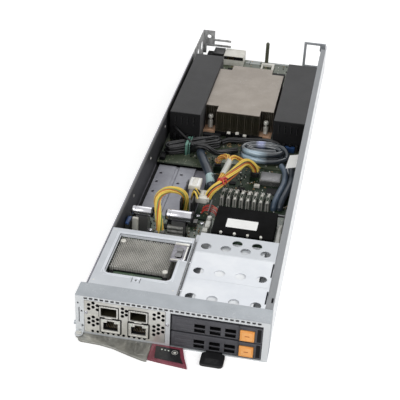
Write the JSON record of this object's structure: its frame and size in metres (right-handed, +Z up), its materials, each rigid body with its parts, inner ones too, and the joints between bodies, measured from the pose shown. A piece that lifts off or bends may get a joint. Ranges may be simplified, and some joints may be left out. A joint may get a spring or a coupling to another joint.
{
  "type": "blade server",
  "caption": "Half-height blade server sled with open folded tray, drive carriers, network card bay, finned cooling and an ejector lever.",
  "frame": {"origin": "on the underside of the tray's floor, halfway along the chassis and halfway across the bezel", "axes": "+X to the right seen from the front, +Y from the front face to the rear connectors, +Z up"},
  "size_m": [0.1676, 0.599, 0.042],
  "materials": {
    "zinc_sheet": "galvanised folded steel, satin",
    "bright_sheet": "pale satin sheet metal",
    "nickel": "nickel plated, slightly warm",
    "carrier_plastic": "dark slate moulded plastic, fine grain",
    "orange_plastic": "orange moulded plastic",
    "maroon_plastic": "deep red moulded plastic",
    "black_plastic": "black moulded plastic",
    "shroud_plastic": "dark grey sheet plastic",
    "green_board": "solder mask over copper tracks",
    "white_plastic": "off-white nylon",
    "warm_aluminium": "bare aluminium, warm grey",
    "copper": "bare copper plate",
    "chrome": "bright metal can",
    "yellow_wire": "soft insulated power wires",
    "blue_cable": "glossy slate blue cable jacket",
    "slate_cable": "slate cable jacket"
  },
  "bodies": {
    "chassis": {"chassis_tray": "zinc_sheet", "front_bezel": "zinc_sheet", "ejector_pivot": "nickel", "drive_cage": "bright_sheet", "drive_backplane": "green_board", "io_card_faceplate": "nickel", "sfp_cage_left": "nickel", "sfp_cage_right": "nickel", "rj45_jack_left": "nickel", "rj45_jack_right": "nickel", "io_card_board": "green_board", "card_heat_sink": "warm_aluminium", "card_clip": "zinc_sheet", "io_bay_cover": "bright_sheet", "bay_board": "green_board", "capacitor_left": "chrome", "capacitor_right": "chrome", "mid_board": "green_board", "main_board": "green_board", "power_bracket": "zinc_sheet", "power_board": "green_board", "power_brick": "black_plastic", "riser_plate": "zinc_sheet", "cable_channel": "black_plastic", "harness_plug_upper": "white_plastic", "harness_plug_lower": "white_plastic", "cpu_base_plate": "copper", "cpu_heat_sink": "warm_aluminium", "sink_screw_1": "nickel", "sink_screw_2": "nickel", "sink_screw_3": "nickel", "sink_screw_4": "nickel", "air_shroud_left": "shroud_plastic", "air_shroud_right": "shroud_plastic", "memory_bank_left": "green_board", "memory_bank_right": "green_board", "rear_bracket_left": "zinc_sheet", "rear_bracket_right": "zinc_sheet", "guide_post": "nickel", "power_connector": "black_plastic", "signal_connector": "white_plastic", "harness_loop": "yellow_wire", "harness_main": "yellow_wire", "harness_branch": "yellow_wire", "slate_cable": "slate_cable", "side_cable": "slate_cable", "signal_hank": "black_plastic", "cable_coil": "blue_cable"},
    "ejector_lever": {"ejector_arm": "nickel", "ejector_grip": "maroon_plastic"},
    "power_button": {"power_button": "white_plastic"},
    "service_tag": {"service_tag": "black_plastic"},
    "carrier_lower": {"carrier_lower": "carrier_plastic", "drive_lower": "zinc_sheet"},
    "carrier_upper": {"carrier_upper": "carrier_plastic", "drive_upper": "zinc_sheet"},
    "handle_lower": {"carrier_handle_lower": "carrier_plastic"},
    "handle_upper": {"carrier_handle_upper": "carrier_plastic"},
    "release_lower": {"release_button_lower": "orange_plastic"},
    "release_upper": {"release_button_upper": "orange_plastic"}
  },
  "joints": [
    {"name": "ejector_hinge", "type": "hinge", "parent": "chassis", "child": "ejector_lever", "pos_m": [-0.0791, -0.2907, 0.0011], "axis": [0, 0, -1], "range_deg": [0, 60]},
    {"name": "power_button_press", "type": "slide", "parent": "ejector_lever", "child": "power_button", "axis": [0, 0, -1], "range_m": [0, 0.0004], "stiffness_N_per_m": 300, "springref_m": -0.0006},
    {"name": "service_tag_slide", "type": "slide", "parent": "chassis", "child": "service_tag", "axis": [0, -1, 0], "range_m": [0, 0.045]},
    {"name": "carrier_lower_slide", "type": "slide", "parent": "chassis", "child": "carrier_lower", "axis": [0, -1, 0], "range_m": [0, 0.1]},
    {"name": "handle_lower_hinge", "type": "hinge", "parent": "carrier_lower", "child": "handle_lower", "pos_m": [0.0017, -0.2849, 0.0101], "axis": [0, 0, -1], "range_deg": [0, 35]},
    {"name": "release_lower_press", "type": "slide", "parent": "carrier_lower", "child": "release_lower", "axis": [0, 1, 0], "range_m": [0, 0.0015], "stiffness_N_per_m": 400, "springref_m": -0.001},
    {"name": "carrier_upper_slide", "type": "slide", "parent": "chassis", "child": "carrier_upper", "axis": [0, -1, 0], "range_m": [0, 0.1]},
    {"name": "handle_upper_hinge", "type": "hinge", "parent": "carrier_upper", "child": "handle_upper", "pos_m": [0.0017, -0.2849, 0.0267], "axis": [0, 0, -1], "range_deg": [0, 35]},
    {"name": "release_upper_press", "type": "slide", "parent": "carrier_upper", "child": "release_upper", "axis": [0, 1, 0], "range_m": [0, 0.0015], "stiffness_N_per_m": 400, "springref_m": -0.001}
  ]
}
